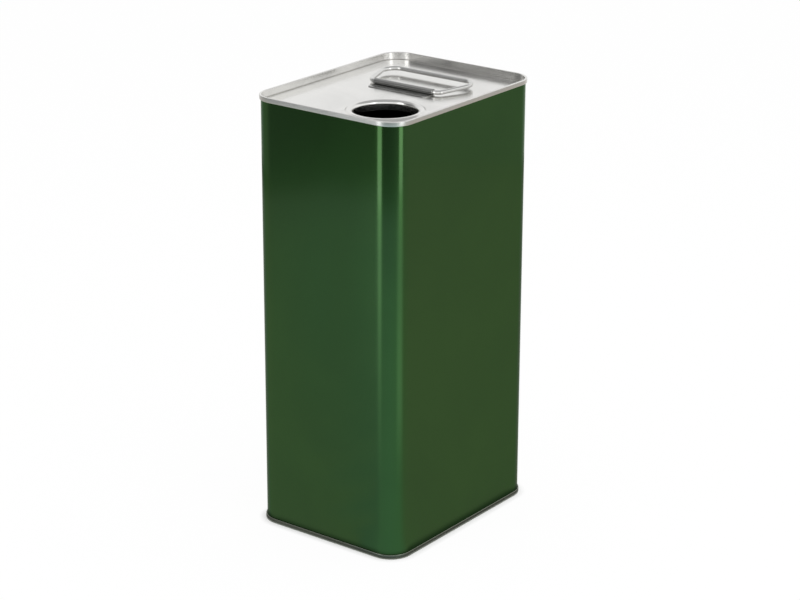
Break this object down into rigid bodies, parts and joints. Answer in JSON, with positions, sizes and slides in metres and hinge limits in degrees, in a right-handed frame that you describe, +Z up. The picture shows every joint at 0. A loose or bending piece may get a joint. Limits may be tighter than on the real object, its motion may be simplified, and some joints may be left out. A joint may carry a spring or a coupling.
{
  "type": "olive oil tin",
  "caption": "Upright rectangular lacquered oil tin with double seamed ends, an open beaded round mouth and a folding wire bail handle in a rolled clip.",
  "frame": {"origin": "centre of the resting face, at the bottom of the lower seam", "axes": "+Z up towards the mouth, +X along the long side away from the mouth, +Y along the short side away from the mouth"},
  "size_m": [0.1538, 0.1198, 0.3],
  "materials": {
    "lacquered_body": "translucent green lacquer over tinplate, semi gloss",
    "tinplate_top": "bright tinplate, satin",
    "tinplate_bottom": "tinplate, satin",
    "seam_compound": "dull sealing compound",
    "clip_steel": "tinplate, satin",
    "handle_wire": "tinned steel wire, semi gloss"
  },
  "bodies": {
    "can": {"body_wrapper": "lacquered_body", "top_end": "tinplate_top", "bottom_end": "tinplate_bottom", "top_seam_compound": "seam_compound", "bottom_seam_compound": "seam_compound", "hinge_clip": "clip_steel"},
    "bail": {"bail_handle": "handle_wire"}
  },
  "joints": [
    {"name": "bail_hinge", "type": "hinge", "parent": "can", "child": "bail", "pos_m": [0.01, 0, 0.29706], "axis": [0, -1, 0], "range_deg": [-3, 172]}
  ]
}
